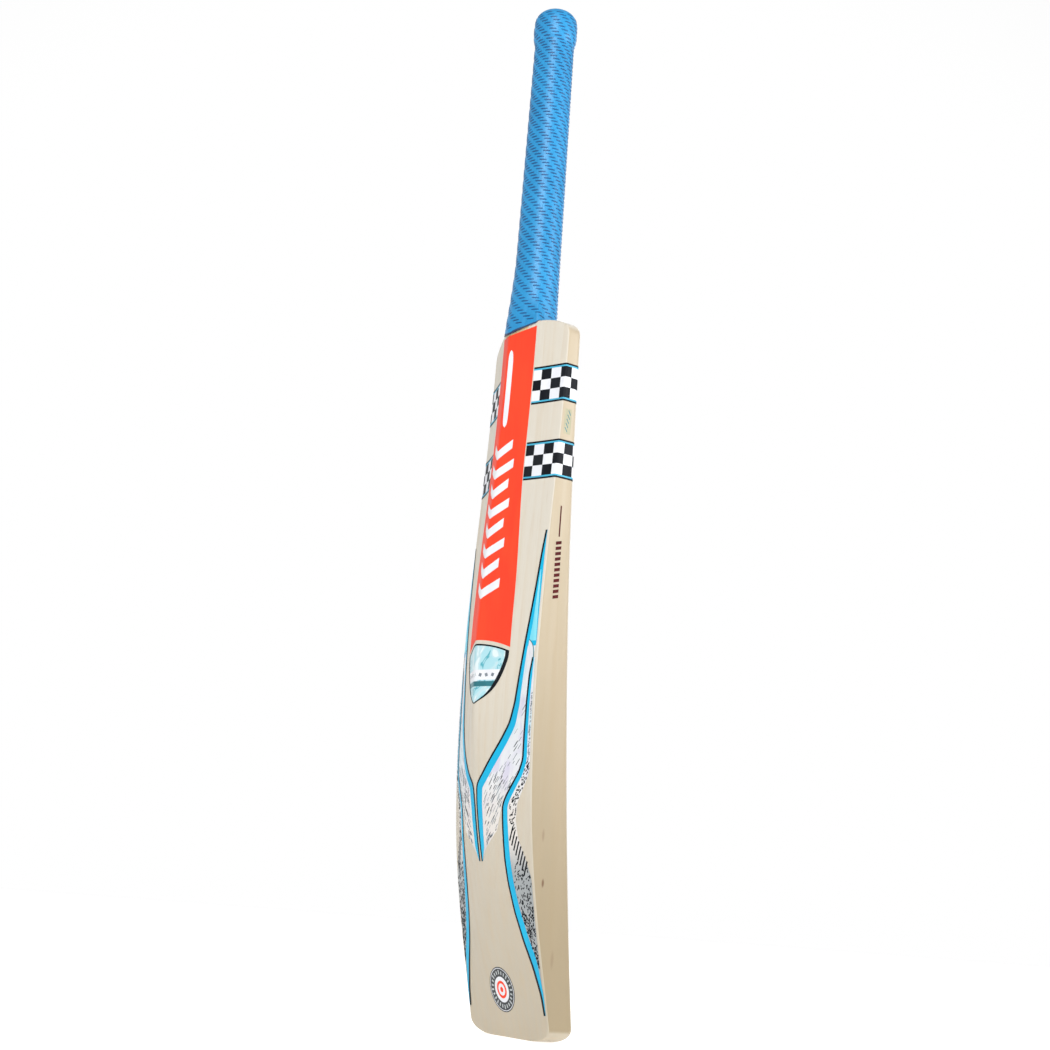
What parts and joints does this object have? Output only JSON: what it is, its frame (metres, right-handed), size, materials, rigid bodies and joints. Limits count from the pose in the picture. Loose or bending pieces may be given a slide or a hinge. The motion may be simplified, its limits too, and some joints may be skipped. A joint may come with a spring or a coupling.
{
  "type": "cricket bat",
  "caption": "Cricket bat standing on its toe: a bowed willow blade with a ridged back, a laminated cane handle spliced into it, a rubber grip and printed labels.",
  "frame": {"origin": "on the toe plane, under the middle of the bat's outer box", "axes": "+Z from the toe up the handle, +Y towards the spine side, -Y towards the hitting face, X across the blade's width"},
  "size_m": [0.1084, 0.0808, 0.86],
  "materials": {
    "willow": "pressed and oiled, satin",
    "cane": "sanded",
    "spring_rubber": "matt sheet rubber",
    "thread": "waxed thread set in glue",
    "grip_rubber": "moulded, satin, with raised bars",
    "red_label": "printed vinyl",
    "badge_label": "silvered and printed vinyl",
    "chequer_label": "printed vinyl",
    "outer_panel_label": "silvered and printed vinyl with a blue border",
    "inner_panel_label": "silvered and printed vinyl with a blue border",
    "roundel_label": "printed vinyl",
    "foil_label": "metallic foil"
  },
  "bodies": {
    "root": {"blade": "willow", "cane_strip_face_left": "cane", "cane_strip_face_middle": "cane", "cane_strip_face_right": "cane", "cane_strip_front_left": "cane", "cane_strip_front_middle": "cane", "cane_strip_front_right": "cane", "cane_strip_rear_left": "cane", "cane_strip_rear_middle": "cane", "cane_strip_rear_right": "cane", "cane_strip_spine_left": "cane", "cane_strip_spine_middle": "cane", "cane_strip_spine_right": "cane", "rubber_spring_front": "spring_rubber", "rubber_spring_middle": "spring_rubber", "rubber_spring_rear": "spring_rubber", "thread_binding": "thread", "grip": "grip_rubber", "spine_label": "red_label", "badge_label": "badge_label", "upper_band_left": "chequer_label", "upper_band_right": "chequer_label", "lower_band_left": "chequer_label", "lower_band_right": "chequer_label", "outer_panel_left": "outer_panel_label", "outer_panel_right": "outer_panel_label", "inner_panel_left": "inner_panel_label", "inner_panel_right": "inner_panel_label", "toe_roundel": "roundel_label", "edge_foil": "foil_label"}
  },
  "joints": []
}
